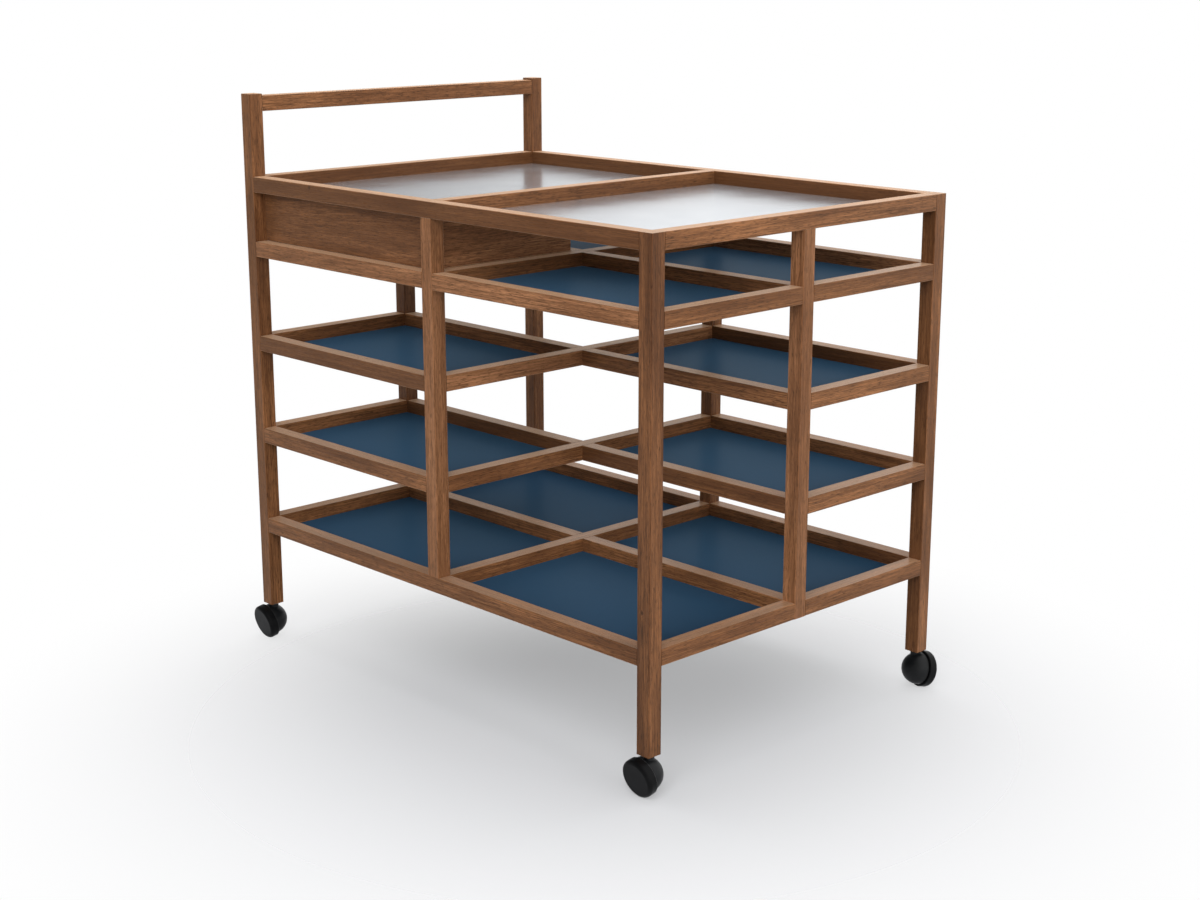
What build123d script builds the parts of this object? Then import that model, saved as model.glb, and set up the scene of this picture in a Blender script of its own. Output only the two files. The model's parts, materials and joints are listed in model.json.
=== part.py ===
from build123d import *
import math
import os
from dataclasses import dataclass

# A bar cart of square walnut stock: a tray top, four shelf levels, a drawer and four ball casters.
# +X runs along the cart to the end without a handle, the front faces -Y, and the floor is Z = 0.

# Overall sizes, in millimetres
cart_length = 834.0
cart_width = 564.0
foot_length = 116.0
shelf_pitch = 140.0
top_pitch = 94.0
handle_rise = 118.0
handle_drop = 3.0

# Timber stock and its joints
stock = 22.0
edge_bevel = 0.8
post_end_bevel = 0.6
tenon_width = 9.0
mortise_wall = 0.9
joint_gap = 0.1
glue_room = 0.5

# Panels: the field lies between the rails, and a thinner lip round it fills a rebate under them
panel_thickness = 3.2
lip_thickness = 2.4
rebate_width = 6.0
panel_gap = 0.4

# Drawer under the top, front left
drawer_wall = 12.0
drawer_side_gap = 0.5
drawer_advance = 3.0
drawer_bevel = 0.4
drawer_back_gap = 1.0
drawer_head_gap = 1.2
drawer_base = 4.0
groove_depth = 4.0
groove_rise = 8.0
groove_gap = 0.2
housing_depth = 5.0
back_inset = 10.0
runner_width = 14.0
runner_height = 16.0
runner_proud = 0.5
running_gap = 0.3
bearer_width = 8.0
stop_width = 60.0
stop_length = 50.0
stop_drop = 9.0
stop_gap = 0.5

# Ball casters: a tilted wheel under a half-round hood that swivels on a stem
wheel_radius = 26.0
rim_round = 5.0
tread_width = 8.5
tread_bevel = 0.8
rim_wall = 6.5
web_thickness = 4.0
wheel_tilt = 13.0
wheel_offset = 14.0
caster_trail = 3.5
hub_radius = 7.5
hub_gap = 0.5
hood_radius = 23.0
hood_skirt = 2.5
hood_wall = 3.0
hood_recess = 1.0
hood_gap = 1.0
axle_radius = 3.0
axle_seat = 15.0
axle_cover = 2.0
axle_fit = 0.05
boss_radius = 7.2
boss_rise = 1.0
boss_root = 4.0
swivel_gap = 0.3
collar_radius = 8.0
collar_thickness = 1.5
stem_radius = 4.0
stem_fit = 0.05
swivel_pin_length = 12.0
thread_radius = 3.95
thread_length = 24.0
thread_fit = 0.05
insert_wall = 2.0
insert_length = 20.0
insert_fit = 0.05

# Direction in which each caster's wheel faces, in degrees round from +X
caster_headings = {
    "front_left": 265.5,
    "front_right": 267.5,
    "back_left": 95.0,
    "back_right": 72.0,
}

# Casters, from the floor up: the wheel's centre, the tops of hood and wheel, the collar and the post's foot
tilt = math.radians(wheel_tilt)
rim_centre = wheel_radius - rim_round
wheel_height = rim_centre * math.cos(tilt) + rim_round
hood_setback = tread_width + hood_gap
dome_setback = hood_setback + hood_skirt
hood_top = wheel_height + dome_setback * math.sin(tilt) + hood_radius
wheel_top = wheel_height + tread_width * math.sin(tilt) + wheel_radius * math.cos(tilt)
collar_low = max(hood_top, wheel_top) + boss_rise + swivel_gap
post_foot = collar_low + collar_thickness

# Heights of the rail tops
half_stock = stock / 2
bottom_top = post_foot + foot_length + stock
lower_top = bottom_top + shelf_pitch
middle_top = lower_top + shelf_pitch
upper_top = middle_top + shelf_pitch
tray_top = upper_top + top_pitch
handle_top = tray_top + handle_rise

# Tenons stop short of the mortises that come in from the next side
mortise_width = tenon_width + 2 * joint_gap
tenon_length = half_stock - mortise_width / 2 - mortise_wall - glue_room

# Centre lines of the posts, and the faces where rails meet them
right_x = cart_length / 2 - half_stock
left_x = -right_x
back_y = cart_width / 2 - half_stock
front_y = -back_y
right_face = right_x - half_stock
left_face = -right_face
back_face = back_y - half_stock
front_face = -back_face

insert_radius = thread_radius + thread_fit + insert_wall
corners = {
    "front_left": (left_x, front_y),
    "front_right": (right_x, front_y),
    "back_left": (left_x, back_y),
    "back_right": (right_x, back_y),
}


@dataclass(frozen=True)
class Stick:
    """A length of square stock, from shoulder to shoulder on its centre line."""

    start: Vector
    end: Vector
    start_tenon: bool = True
    end_tenon: bool = True
    lap: int = 0

    @property
    def length(self):
        """Distance between the shoulders."""
        return (self.end - self.start).length

    @property
    def heading(self):
        """Direction from start to end."""
        return (self.end - self.start).normalized()

    def tenons(self):
        """Shoulder point and outward direction of each tenon."""
        ends = []
        if self.start_tenon:
            ends.append((self.start, self.heading * -1))
        if self.end_tenon:
            ends.append((self.end, self.heading))
        return ends

    def takes(self, shoulder, heading):
        """Whether the tenon that leaves shoulder along heading lands in this stick."""
        landing = shoulder + heading * half_stock
        along = (landing - self.start).dot(self.heading)
        beside = landing - (self.start + self.heading * along)
        return 0 < along < self.length and beside.length < half_stock / 2


@dataclass(frozen=True)
class Bay:
    """The clear opening between four rails that a panel fills, and the rails' top height."""

    x_low: float
    x_high: float
    y_low: float
    y_high: float
    top: float

    def field(self, reach_x, reach_y):
        """Draw the opening, made wider and deeper by a reach on each side."""
        with Locations(((self.x_low + self.x_high) / 2, (self.y_low + self.y_high) / 2)):
            Rectangle(self.x_high - self.x_low + 2 * reach_x, self.y_high - self.y_low + 2 * reach_y)

    def lips(self, reach, gap):
        """Draw the lips: they reach under the rails, and their corners stay clear of the posts."""
        self.field(reach, -gap)
        self.field(-gap, reach)


def across(point, heading):
    """Plane square to a stick at a point on its centre line."""
    sideways = Vector(0, 1, 0) if abs(heading.X) > abs(heading.Y) else Vector(1, 0, 0)
    return Plane(origin=point, x_dir=sideways, z_dir=heading)


def post(x, y, low, high, low_tenon=False, high_tenon=False):
    """An upright stick."""
    return Stick(Vector(x, y, low), Vector(x, y, high), low_tenon, high_tenon)


def edge_rail(x_from, x_to, y, top, lap=0):
    """A level stick along the cart, given the height of its top."""
    middle = top - half_stock
    return Stick(Vector(x_from, y, middle), Vector(x_to, y, middle), lap=lap)


def end_rail(x, y_from, y_to, top, lap=0):
    """A level stick across the cart, given the height of its top."""
    middle = top - half_stock
    return Stick(Vector(x, y_from, middle), Vector(x, y_to, middle), lap=lap)


def save(builder, node):
    """Label a finished sub-part and write its file."""
    builder.part.label = node
    export_step(builder.part, f"parts/{node}.step")


# Posts: the two at the handle end are tall, and the middle ones stop under the top frame
tray_underside = tray_top - stock
timbers = {
    "front_left_post": [post(left_x, front_y, post_foot, handle_top)],
    "back_left_post": [post(left_x, back_y, post_foot, handle_top)],
    "front_right_post": [post(right_x, front_y, post_foot, tray_top)],
    "back_right_post": [post(right_x, back_y, post_foot, tray_top)],
    "front_middle_post": [post(0, front_y, bottom_top, tray_underside, True, True)],
    "back_middle_post": [post(0, back_y, bottom_top, tray_underside, True, True)],
    "left_middle_post": [post(left_x, 0, bottom_top - stock, tray_underside, False, True)],
    "right_middle_post": [post(right_x, 0, bottom_top - stock, tray_underside, False, True)],
}
tall_posts = ("front_left_post", "back_left_post")

# Handle and top frame, in one length each
timbers["handle_rail"] = [end_rail(left_x, front_face, back_face, handle_top - handle_drop)]
timbers["top_front_rail"] = [edge_rail(left_face, right_face, front_y, tray_top)]
timbers["top_back_rail"] = [edge_rail(left_face, right_face, back_y, tray_top)]
timbers["top_left_rail"] = [end_rail(left_x, front_face, back_face, tray_top)]
timbers["top_right_rail"] = [end_rail(right_x, front_face, back_face, tray_top)]
timbers["top_divider"] = [end_rail(0, front_face, back_face, tray_top)]

# Upper level: rails on every side, broken by the middle posts
timbers["upper_edge_rails"] = [
    edge_rail(x_from, x_to, y, upper_top)
    for y in (front_y, back_y)
    for x_from, x_to in ((left_face, -half_stock), (half_stock, right_face))
]
timbers["upper_end_rails"] = [
    end_rail(x, y_from, y_to, upper_top)
    for x in (left_x, right_x)
    for y_from, y_to in ((front_face, -half_stock), (half_stock, back_face))
]

# Middle and lower levels: outer rails only round the front left and back right bays
for level, top in (("middle", middle_top), ("lower", lower_top)):
    timbers[f"{level}_edge_rails"] = [
        edge_rail(left_face, -half_stock, front_y, top),
        edge_rail(half_stock, right_face, back_y, top),
    ]
    timbers[f"{level}_end_rails"] = [
        end_rail(left_x, front_face, -half_stock, top),
        end_rail(right_x, half_stock, back_face, top),
    ]

# Bottom level: long rails in one length, end rails broken by the middle posts
timbers["bottom_front_rail"] = [edge_rail(left_face, right_face, front_y, bottom_top)]
timbers["bottom_back_rail"] = [edge_rail(left_face, right_face, back_y, bottom_top)]
timbers["bottom_end_rails"] = [
    end_rail(x, y_from, y_to, bottom_top)
    for x in (left_x, right_x)
    for y_from, y_to in ((front_face, -half_stock), (half_stock, back_face))
]

# Inner rails of the four shelf levels, halved over each other in the centre
shelf_tops = {"upper": upper_top, "middle": middle_top, "lower": lower_top, "bottom": bottom_top}
for level, top in shelf_tops.items():
    timbers[f"{level}_cross_rail"] = [end_rail(0, front_face, back_face, top, lap=-1)]
    timbers[f"{level}_long_rail"] = [edge_rail(left_face, right_face, 0, top, lap=1)]

# Bays with a panel: x and y limits of the left and right, front and back halves
left_half = (left_face, -half_stock)
right_half = (half_stock, right_face)
front_half = (front_face, -half_stock)
back_half = (half_stock, back_face)
panels = {
    "top_left_panel": [Bay(*left_half, front_face, back_face, tray_top)],
    "top_right_panel": [Bay(*right_half, front_face, back_face, tray_top)],
    "upper_panels": [
        Bay(*right_half, *front_half, upper_top),
        Bay(*left_half, *back_half, upper_top),
        Bay(*right_half, *back_half, upper_top),
    ],
    "bottom_panels": [
        Bay(*across_half, *along_half, bottom_top)
        for across_half in (left_half, right_half)
        for along_half in (front_half, back_half)
    ],
}
for level, top in (("middle", middle_top), ("lower", lower_top)):
    panels[f"{level}_panels"] = [
        Bay(*left_half, *front_half, top),
        Bay(*right_half, *back_half, top),
    ]

all_tenons = [tenon for sticks in timbers.values() for stick in sticks for tenon in stick.tenons()]
all_bays = [bay for bays in panels.values() for bay in bays]


def shape_stick(stick):
    """Cut one stick: stock, tenons, mortises for the sticks that join it, halving and rebates."""
    arriving = [tenon for tenon in all_tenons if stick.takes(*tenon)]
    level_bays = [bay for bay in all_bays if abs(stick.start.Z - bay.top) < stock]
    with BuildPart() as piece:
        with BuildSketch(across(stick.start, stick.heading)) as profile:
            Rectangle(stock, stock)
            chamfer(profile.vertices(), edge_bevel)
        extrude(amount=stick.length)
        for shoulder, heading in stick.tenons():
            with BuildSketch(across(shoulder, heading)):
                Rectangle(tenon_width, tenon_width)
            extrude(amount=tenon_length)
        for shoulder, heading in arriving:
            with BuildSketch(across(shoulder, heading)):
                Rectangle(mortise_width, mortise_width)
            extrude(amount=tenon_length + glue_room, mode=Mode.SUBTRACT)
        if stick.lap:
            with BuildSketch(Plane.XY.offset(stick.start.Z)):
                Rectangle(stock + 2 * joint_gap, stock + 2 * joint_gap)
            extrude(amount=stick.lap * stock, mode=Mode.SUBTRACT)
        if stick.heading.Z == 0:
            for bay in level_bays:
                with BuildSketch(Plane.XY.offset(bay.top - stock)):
                    bay.lips(rebate_width, 0)
                extrude(amount=lip_thickness, mode=Mode.SUBTRACT)
    return piece.part


os.makedirs("parts", exist_ok=True)

# Posts and rails, with the casters' inserts bored into the feet of the corner posts
for node, sticks in timbers.items():
    shaped = [shape_stick(stick) for stick in sticks]
    with BuildPart() as timber:
        add(shaped)
        if sticks[0].start.Z == post_foot:
            with BuildSketch(Plane.XY.offset(post_foot)):
                with Locations((sticks[0].start.X, sticks[0].start.Y)):
                    Circle(insert_radius + insert_fit)
            extrude(amount=thread_length + glue_room, mode=Mode.SUBTRACT)
        if node in tall_posts:
            chamfer(timber.faces().sort_by(Axis.Z)[-1].edges(), post_end_bevel)
    save(timber, node)

# Panels, flush with the undersides of the rails; the lips clear the tenons that rise beside them
tenon_notch = mortise_width + 2 * panel_gap
for node, bays in panels.items():
    with BuildPart() as panel:
        for bay in bays:
            rail_underside = bay.top - stock
            with BuildSketch(Plane.XY.offset(rail_underside)):
                bay.lips(rebate_width - panel_gap, panel_gap)
                for shoulder, heading in all_tenons:
                    if heading.Z > 0 and abs(shoulder.Z - rail_underside) < lip_thickness:
                        with Locations((shoulder.X, shoulder.Y)):
                            Rectangle(tenon_notch, tenon_notch, mode=Mode.SUBTRACT)
            extrude(amount=lip_thickness)
            with BuildSketch(Plane.XY.offset(rail_underside)):
                bay.field(-panel_gap, -panel_gap)
            extrude(amount=panel_thickness)
    save(panel, node)

# Drawer: limits of the closed box inside the front left bay of the upper level
drawer_left = left_face + drawer_side_gap
drawer_right = -half_stock - drawer_side_gap
drawer_front = front_face - drawer_advance
drawer_back = -half_stock - drawer_back_gap
drawer_low = upper_top + runner_proud + running_gap
drawer_height = tray_underside - drawer_head_gap - drawer_low
drawer_middle = (drawer_left + drawer_right) / 2
drawer_width = drawer_right - drawer_left
side_front = drawer_front + drawer_wall - housing_depth
back_panel_back = drawer_back - back_inset
back_panel_front = back_panel_back - drawer_wall
inner_front = drawer_front + drawer_wall
inner_width = drawer_width - 2 * drawer_wall
base_plane = Plane.XY.offset(drawer_low + groove_rise)
base_centre = (drawer_middle, (inner_front + back_panel_front) / 2)
base_depth = back_panel_front - inner_front


def board(x_low, x_high, y_low, y_high):
    """Draw a board's outline, seen from above."""
    with Locations(((x_low + x_high) / 2, (y_low + y_high) / 2)):
        Rectangle(x_high - x_low, y_high - y_low)


def cut_board(x_low, x_high, y_low, y_high):
    """Take a rectangle out of the outline, seen from above."""
    with Locations(((x_low + x_high) / 2, (y_low + y_high) / 2)):
        Rectangle(x_high - x_low, y_high - y_low, mode=Mode.SUBTRACT)


def base_groove():
    """Draw the groove that holds the drawer's bottom in its four walls."""
    with Locations(base_centre):
        Rectangle(inner_width + 2 * groove_depth, base_depth + 2 * groove_depth)


with BuildPart() as front_board:
    with BuildSketch(Plane.XY.offset(drawer_low)):
        board(drawer_left, drawer_right, drawer_front, inner_front)
        cut_board(drawer_left, drawer_left + drawer_wall, side_front, inner_front)
        cut_board(drawer_right - drawer_wall, drawer_right, side_front, inner_front)
    extrude(amount=drawer_height)
    with BuildSketch(base_plane):
        base_groove()
    extrude(amount=drawer_base + groove_gap, mode=Mode.SUBTRACT)
    chamfer(front_board.faces().sort_by(Axis.Y)[0].edges(), drawer_bevel)
save(front_board, "drawer_front")

for side, outer, inner in (
    ("left", drawer_left, drawer_left + drawer_wall),
    ("right", drawer_right, drawer_right - drawer_wall),
):
    inward = 1 if inner > outer else -1
    with BuildPart() as side_board:
        with BuildSketch(Plane.XY.offset(drawer_low)):
            board(min(outer, inner), max(outer, inner), side_front, drawer_back)
            dado = sorted((inner - inward * housing_depth, inner))
            cut_board(*dado, back_panel_front - joint_gap, back_panel_back + joint_gap)
        extrude(amount=drawer_height)
        with BuildSketch(base_plane):
            base_groove()
        extrude(amount=drawer_base + groove_gap, mode=Mode.SUBTRACT)
        chamfer(side_board.edges().filter_by(Axis.Y).group_by(Axis.Z)[-1], edge_bevel)
    save(side_board, f"drawer_{side}_side")

with BuildPart() as back_board:
    tongue = housing_depth - glue_room
    with BuildSketch(Plane.XY.offset(drawer_low)):
        board(
            drawer_left + drawer_wall - tongue,
            drawer_right - drawer_wall + tongue,
            back_panel_front,
            back_panel_back,
        )
    extrude(amount=drawer_height)
    with BuildSketch(base_plane):
        base_groove()
    extrude(amount=drawer_base + groove_gap, mode=Mode.SUBTRACT)
save(back_board, "drawer_back")

with BuildPart() as base_board:
    lip = groove_depth - groove_gap
    with BuildSketch(base_plane):
        with Locations(base_centre):
            Rectangle(inner_width + 2 * lip, base_depth + 2 * lip)
    extrude(amount=drawer_base)
save(base_board, "drawer_bottom")

# The stop under the drawer meets the long rail when shut and the bearer when open
stop_low = upper_top - stop_drop
stop_back = -half_stock - stop_gap
stop_front = stop_back - stop_length
with BuildPart() as stop_block:
    with BuildSketch(Plane.XY.offset(stop_low)):
        board(
            drawer_middle - stop_width / 2,
            drawer_middle + stop_width / 2,
            stop_front,
            stop_back,
        )
    extrude(amount=drawer_low - running_gap - stop_low)
    with BuildSketch(Plane.XY.offset(drawer_low - running_gap)):
        board(
            drawer_middle - stop_width / 2,
            drawer_middle + stop_width / 2,
            stop_front,
            back_panel_front - glue_room,
        )
    extrude(amount=groove_rise + running_gap)
save(stop_block, "drawer_stop")

for side, wall_face, inward in (("left", left_face, 1), ("right", -half_stock, -1)):
    with BuildPart() as runner:
        with BuildSketch(Plane.XY.offset(upper_top - runner_height)):
            across_runner = sorted((wall_face, wall_face + inward * runner_width))
            board(*across_runner, front_face, -half_stock)
        extrude(amount=runner_height + runner_proud)
    save(runner, f"{side}_drawer_runner")

# The bearer behind the front rail carries the drawer's front, level with the runners
with BuildPart() as bearer:
    with BuildSketch(Plane.XY.offset(upper_top - runner_height)):
        board(
            left_face + runner_width,
            -half_stock - runner_width,
            front_face,
            front_face + bearer_width,
        )
    extrude(amount=runner_height + runner_proud)
save(bearer, "drawer_bearer")

# Casters: places along the axle from the wheel's centre, and the ends of the stem
pin_low = collar_low - swivel_pin_length
hub_end = -hood_setback + hub_gap / 2
hood_hub_end = -hood_setback - hub_gap / 2
web_back = rim_round - web_thickness
bore_end = rim_round - axle_cover
axle_tail = -hood_setback - axle_seat


def axle_heading(heading):
    """Direction of a caster's axle, towards the wheel's face."""
    turn = math.radians(heading)
    level = math.cos(tilt)
    return Vector(math.cos(turn) * level, math.sin(turn) * level, -math.sin(tilt))


def wheel_section(x, y, heading):
    """Plane through a caster's axle, with its origin in the wheel's centre and local X along the axle."""
    turn = math.radians(heading)
    outward = Vector(math.cos(turn), math.sin(turn), 0)
    rolling = Vector(-math.sin(turn), math.cos(turn), 0)
    centre = Vector(x, y, wheel_height) + outward * wheel_offset - rolling * caster_trail
    return Plane(origin=centre, x_dir=axle_heading(heading), z_dir=rolling * -1)


for corner, (corner_x, corner_y) in corners.items():
    section = wheel_section(corner_x, corner_y, caster_headings[corner])
    axle_line = Axis(section.origin, section.x_dir)
    swivel_centre = (corner_x, corner_y)

    # Wheel: flat face, rounded into the tread, and a hub on the hood's side with a blind bore
    with BuildPart() as wheel:
        with BuildSketch(section):
            with BuildLine():
                Polyline((bore_end, 0), (rim_round, 0), (rim_round, rim_centre))
                CenterArc((0, rim_centre), rim_round, 0, 90)
                Polyline(
                    (0, wheel_radius),
                    (tread_bevel - tread_width, wheel_radius),
                    (-tread_width, wheel_radius - tread_bevel),
                    (-tread_width, wheel_radius - rim_wall),
                    (web_back, wheel_radius - rim_wall),
                    (web_back, hub_radius),
                    (hub_end, hub_radius),
                    (hub_end, axle_radius + axle_fit),
                    (bore_end, axle_radius + axle_fit),
                    (bore_end, 0),
                )
            make_face()
        revolve(axis=axle_line)
    save(wheel, f"{corner}_caster_wheel")

    # Hood: a dome on a short skirt, a hub for the axle in its recessed flat side, and a boss for the stem
    with BuildPart() as hood:
        with BuildSketch(section):
            with BuildLine():
                Line((-hood_setback, hood_radius), (-dome_setback, hood_radius))
                CenterArc((-dome_setback, 0), hood_radius, 90, 90)
                Polyline(
                    (-dome_setback - hood_radius, 0),
                    (axle_tail, 0),
                    (axle_tail, axle_radius + axle_fit),
                    (hood_hub_end, axle_radius + axle_fit),
                    (hood_hub_end, hub_radius),
                    (-hood_setback - hood_recess, hub_radius),
                    (-hood_setback - hood_recess, hood_radius - hood_wall),
                    (-hood_setback, hood_radius - hood_wall),
                    (-hood_setback, hood_radius),
                )
            make_face()
        revolve(axis=axle_line)
        with BuildSketch(Plane.XY.offset(hood_top - boss_root)):
            with Locations(swivel_centre):
                Circle(boss_radius)
        extrude(amount=collar_low - swivel_gap - hood_top + boss_root)
        with BuildSketch(Plane.XY.offset(pin_low - swivel_gap)):
            with Locations(swivel_centre):
                Circle(stem_radius + stem_fit)
        extrude(amount=swivel_pin_length, mode=Mode.SUBTRACT)
    save(hood, f"{corner}_caster_hood")

    # Axle: a plain pin, fast in the hood, that the wheel turns on
    with BuildPart() as axle:
        with BuildSketch(Plane(origin=axle_line.position, z_dir=axle_line.direction).offset(axle_tail)):
            Circle(axle_radius)
        extrude(amount=bore_end - hub_gap - axle_tail)
    save(axle, f"{corner}_caster_axle")

# Stems: a swivel pin in the hood, a collar against the post's foot and a threaded shank above it
with BuildPart() as stems:
    for radius, low, high in (
        (stem_radius, pin_low, collar_low),
        (collar_radius, collar_low, post_foot),
        (thread_radius, post_foot, post_foot + thread_length),
    ):
        with BuildSketch(Plane.XY.offset(low)):
            with Locations(*corners.values()):
                Circle(radius)
        extrude(amount=high - low)
save(stems, "caster_stems")

# Threaded inserts in the feet of the corner posts
with BuildPart() as inserts:
    with BuildSketch(Plane.XY.offset(post_foot)):
        with Locations(*corners.values()):
            Circle(insert_radius)
            Circle(thread_radius + thread_fit, mode=Mode.SUBTRACT)
    extrude(amount=insert_length)
save(inserts, "caster_inserts")
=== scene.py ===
import json
import logging
import math
from collections.abc import Iterable
from dataclasses import dataclass
from enum import Enum
from functools import partial
from typing import ClassVar

import bpy
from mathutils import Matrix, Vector


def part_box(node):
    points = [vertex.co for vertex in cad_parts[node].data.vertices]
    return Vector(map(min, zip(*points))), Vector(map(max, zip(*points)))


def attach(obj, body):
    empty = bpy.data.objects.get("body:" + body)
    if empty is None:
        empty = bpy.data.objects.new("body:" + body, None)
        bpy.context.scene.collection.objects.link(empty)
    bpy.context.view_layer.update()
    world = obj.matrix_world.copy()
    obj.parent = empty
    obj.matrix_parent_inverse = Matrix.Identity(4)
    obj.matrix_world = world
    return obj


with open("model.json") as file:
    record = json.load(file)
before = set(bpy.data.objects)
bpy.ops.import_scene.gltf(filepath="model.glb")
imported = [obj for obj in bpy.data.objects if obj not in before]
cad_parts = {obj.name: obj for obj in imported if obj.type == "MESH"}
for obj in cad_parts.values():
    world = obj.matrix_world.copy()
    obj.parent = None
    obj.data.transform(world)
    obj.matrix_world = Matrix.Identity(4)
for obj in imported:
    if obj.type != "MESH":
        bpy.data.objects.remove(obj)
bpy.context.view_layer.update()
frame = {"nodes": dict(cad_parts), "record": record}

log = logging.getLogger("bar_cart")

Point = tuple[float, float, float]
Span = tuple[float, float]
Colour = tuple[float, float, float, float]
# Start, end and facing of a row of screws
Line = tuple[Point, Point, Point]
# The direction of a face with painted shade, and how strongly the painted shade shows
PaintedShade = tuple[Point, float]

MM = 0.001
TO_MM: Point = (1000.0, 1000.0, 1000.0)
FRONT: Point = (0.0, -1.0, 0.0)
RIGHT: Point = (1.0, 0.0, 0.0)
DOWN: Point = (0.0, 0.0, -1.0)
WHITE: Colour = (1.0, 1.0, 1.0, 1.0)

# Noise seldom leaves the middle of its range.
NOISE_LOW, NOISE_HIGH = 0.3, 0.7
# A wave of scale 1 repeats at this distance.
WAVE_PERIOD = math.pi / 10
# A face turns towards a direction from the first cosine on, and has turned wholly at the second.
TURNED_FROM, TURNED_TO = 0.6, 0.9


def linear(srgb: str) -> Colour:
    """Turns an sRGB hex colour to linear light.

    Args:
        srgb: The colour as #rrggbb.

    Returns:
        Linear red, green, blue and a full alpha.
    """
    parts = [int(srgb[place : place + 2], 16) / 255 for place in (1, 3, 5)]
    red, green, blue = (
        part / 12.92 if part <= 0.04045 else ((part + 0.055) / 1.055) ** 2.4 for part in parts
    )
    return red, green, blue, 1.0


def add_node(
    tree: bpy.types.NodeTree,
    kind: str,
    feeds: dict[str | int, object] | None = None,
    **settings: object,
) -> bpy.types.Node:
    """Adds one node with its settings, values and links.

    Args:
        tree: The tree of a material, the world or a Geometry Nodes group.
        kind: The node's type.
        feeds: For an input's name or number, a value, a socket, or a node whose first live output
            is used.
        settings: The node's own properties.

    Returns:
        The new node.
    """
    node = tree.nodes.new(kind)
    for name, value in settings.items():
        setattr(node, name, value)
    for key, value in (feeds or {}).items():
        live = [socket for socket in node.inputs if socket.enabled]
        target = live[key] if isinstance(key, int) else next(s for s in live if s.name == key)
        if isinstance(value, bpy.types.Node):
            value = next(socket for socket in value.outputs if socket.enabled)
        if isinstance(value, bpy.types.NodeSocket):
            tree.links.new(value, target)
        else:
            target.default_value = value
    return node


class Grain(Enum):
    """The way a piece's fibres run, with the turn that lays them along local X."""

    ALONG = (0.0, 0.0, 0.0)
    ACROSS = (0.0, 0.0, -math.pi / 2)
    UPRIGHT = (0.0, math.pi / 2, 0.0)

    @property
    def axis(self) -> Point:
        """The fibres' direction in the cart's frame."""
        return {"ALONG": (1, 0, 0), "ACROSS": (0, 1, 0), "UPRIGHT": (0, 0, 1)}[self.name]


class Board(Enum):
    """Tone of the board that a piece was sawn from: pale wood, mean wood, late wood and pores."""

    PALE = ("#b88159", "#8a5b3b", "#5c3920", "#352111")
    MIDDLING = ("#a87249", "#6f462a", "#4f2f19", "#2b1a0d")
    DEEP = ("#96643f", "#633e25", "#472916", "#26160b")


@dataclass(frozen=True)
class Marks:
    """One layer of long marks in the wood: their size, their noise, and how strongly they show."""

    length_mm: float
    width_mm: float
    detail: float
    low: float
    high: float
    share: float = 1.0
    roughness: float = 0.6
    distortion: float = 0.2

    @property
    def scale(self) -> Point:
        """The scale that makes the marks this size where the wood is read in millimetres."""
        return 1 / self.length_mm, 1 / self.width_mm, 1 / self.width_mm


@dataclass(frozen=True)
class Rings:
    """The growth rings: their spacing, how strongly they show, and how they wander."""

    spacing_mm: float = 7.0
    share: float = 0.3
    onset: float = 0.2
    # Rings are drawn out along the log, so their wander is slow that way.
    stretch: Point = (0.06, 1.0, 1.0)
    wander: float = 9.0
    detail: float = 3.0
    detail_scale: float = 1.1
    detail_roughness: float = 0.62


@dataclass(frozen=True)
class Knot:
    """A knot or a streak of resin: its middle, radius across the grain and length in radii."""

    centre: Point
    radius: float
    stretch: float = 1.0
    core: float = 0.2
    share: float = 0.75


@dataclass(frozen=True)
class Finish:
    """A named surface that builds its own procedural material."""

    name: str

    def material(self) -> bpy.types.Material:
        """Gives this finish's material, built the first time it is asked for.

        Returns:
            The material.
        """
        made = bpy.data.materials.get(self.name)
        if made is None:
            made = bpy.data.materials.new(self.name)
            made.use_nodes = True
            made.node_tree.nodes.clear()
            surface = self.shade(made.node_tree)
            add_node(made.node_tree, "ShaderNodeOutputMaterial", {"Surface": surface})
        return made

    def shade(self, tree: bpy.types.NodeTree) -> bpy.types.Node:
        """Adds the shader's nodes and gives the last of them."""
        raise NotImplementedError


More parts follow.
